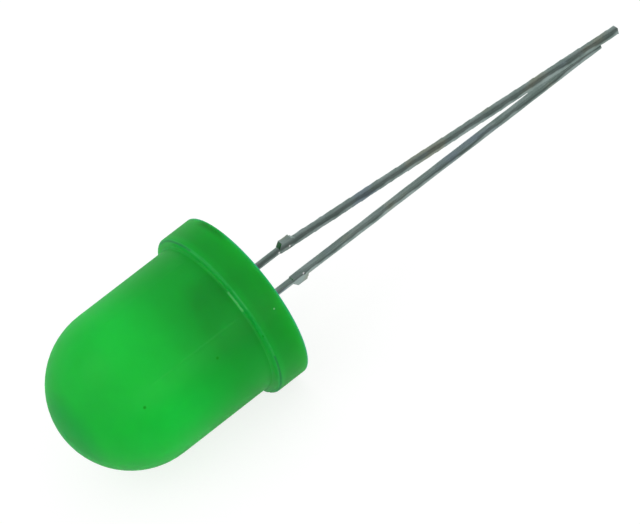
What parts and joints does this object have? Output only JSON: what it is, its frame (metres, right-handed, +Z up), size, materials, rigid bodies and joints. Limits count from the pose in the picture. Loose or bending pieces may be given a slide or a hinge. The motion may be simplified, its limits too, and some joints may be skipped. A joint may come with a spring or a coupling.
{
  "type": "through hole led",
  "caption": "Round domed indicator lamp of green diffused resin with a flanged base and long bent wire leads, for mounting through a board.",
  "frame": {"origin": "centre of the flange's base face, where the base meets the optical axis", "axes": "+X along the optical axis from the base towards the lead tips, so the dome points to -X; +Z up, through the long lead, with the flange's flat underneath; -Y is the side to which the long lead's tip is bent"},
  "size_m": [0.0418, 0.011, 0.0105],
  "materials": {
    "resin": "green diffused epoxy, smooth and softly glossy",
    "lead_metal": "dull tinned steel leadframe",
    "die": "semiconductor chip",
    "cement": "silver filled cement",
    "gold": "drawn gold wire"
  },
  "bodies": {
    "root": {"lens": "resin", "anode_lead": "lead_metal", "cathode_lead": "lead_metal", "die": "die", "die_cement": "cement", "bond_wire": "gold"}
  },
  "joints": []
}
